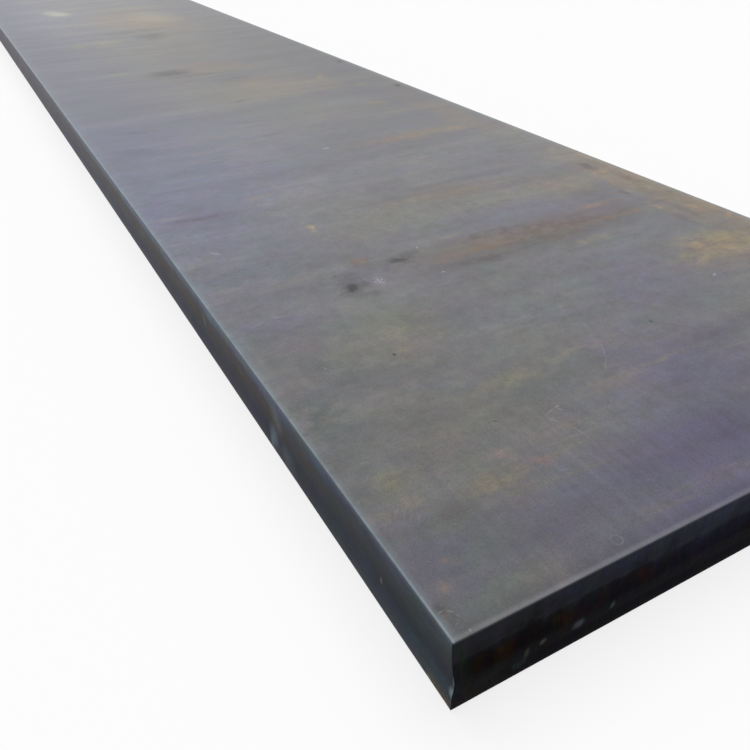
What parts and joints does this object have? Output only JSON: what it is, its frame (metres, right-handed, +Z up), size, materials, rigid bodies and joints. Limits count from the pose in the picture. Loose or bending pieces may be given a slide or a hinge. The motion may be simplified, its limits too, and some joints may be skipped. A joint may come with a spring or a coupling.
{
  "type": "steel plate",
  "caption": "Thick hot-rolled steel plate with rounded rolled edges and hot-sheared ends, lying flat as raw stock for cutting, machining or welding.",
  "frame": {"origin": "centre of the flat underside that the plate lies on", "axes": "+X along the rolling direction (the length), +Y across the plate (the width), +Z up through its thickness"},
  "size_m": [6, 1, 0.1],
  "materials": {
    "mill_scale": "hot-rolled mill scale: satin blue-grey, cross-banded with straw and thin rust, darker on the cut ends"
  },
  "bodies": {
    "root": {"steel_plate": "mill_scale"}
  },
  "joints": []
}
